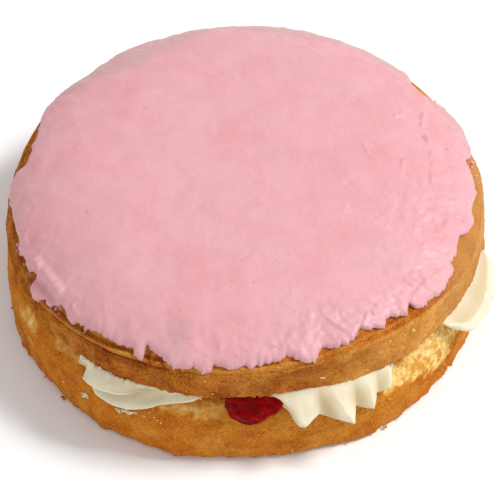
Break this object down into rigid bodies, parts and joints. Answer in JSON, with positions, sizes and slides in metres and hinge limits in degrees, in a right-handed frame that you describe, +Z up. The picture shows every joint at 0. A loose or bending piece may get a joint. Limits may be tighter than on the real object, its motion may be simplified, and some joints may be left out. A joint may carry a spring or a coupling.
{
  "type": "victoria sponge cake",
  "caption": "Round sandwich cake of stacked sponge layers with jam and piped cream between them, iced over the domed top.",
  "frame": {"origin": "middle of the cake's flat underside, on the surface it stands on", "axes": "+Z up; -Y towards the side the picture shows in front; +X to the picture's right"},
  "size_m": [0.2064, 0.2123, 0.0672],
  "materials": {
    "sponge_lower": "matt, grainy baked sponge",
    "jam_layer": "glossy wet red jam",
    "cream_filling": "smooth satin cream",
    "sponge_upper": "smooth browned skin over matt grainy sponge",
    "icing": "satin pink poured icing"
  },
  "bodies": {
    "root": {"sponge_lower": "sponge_lower", "jam_layer": "jam_layer", "cream_filling": "cream_filling", "sponge_upper": "sponge_upper", "icing": "icing"}
  },
  "joints": []
}
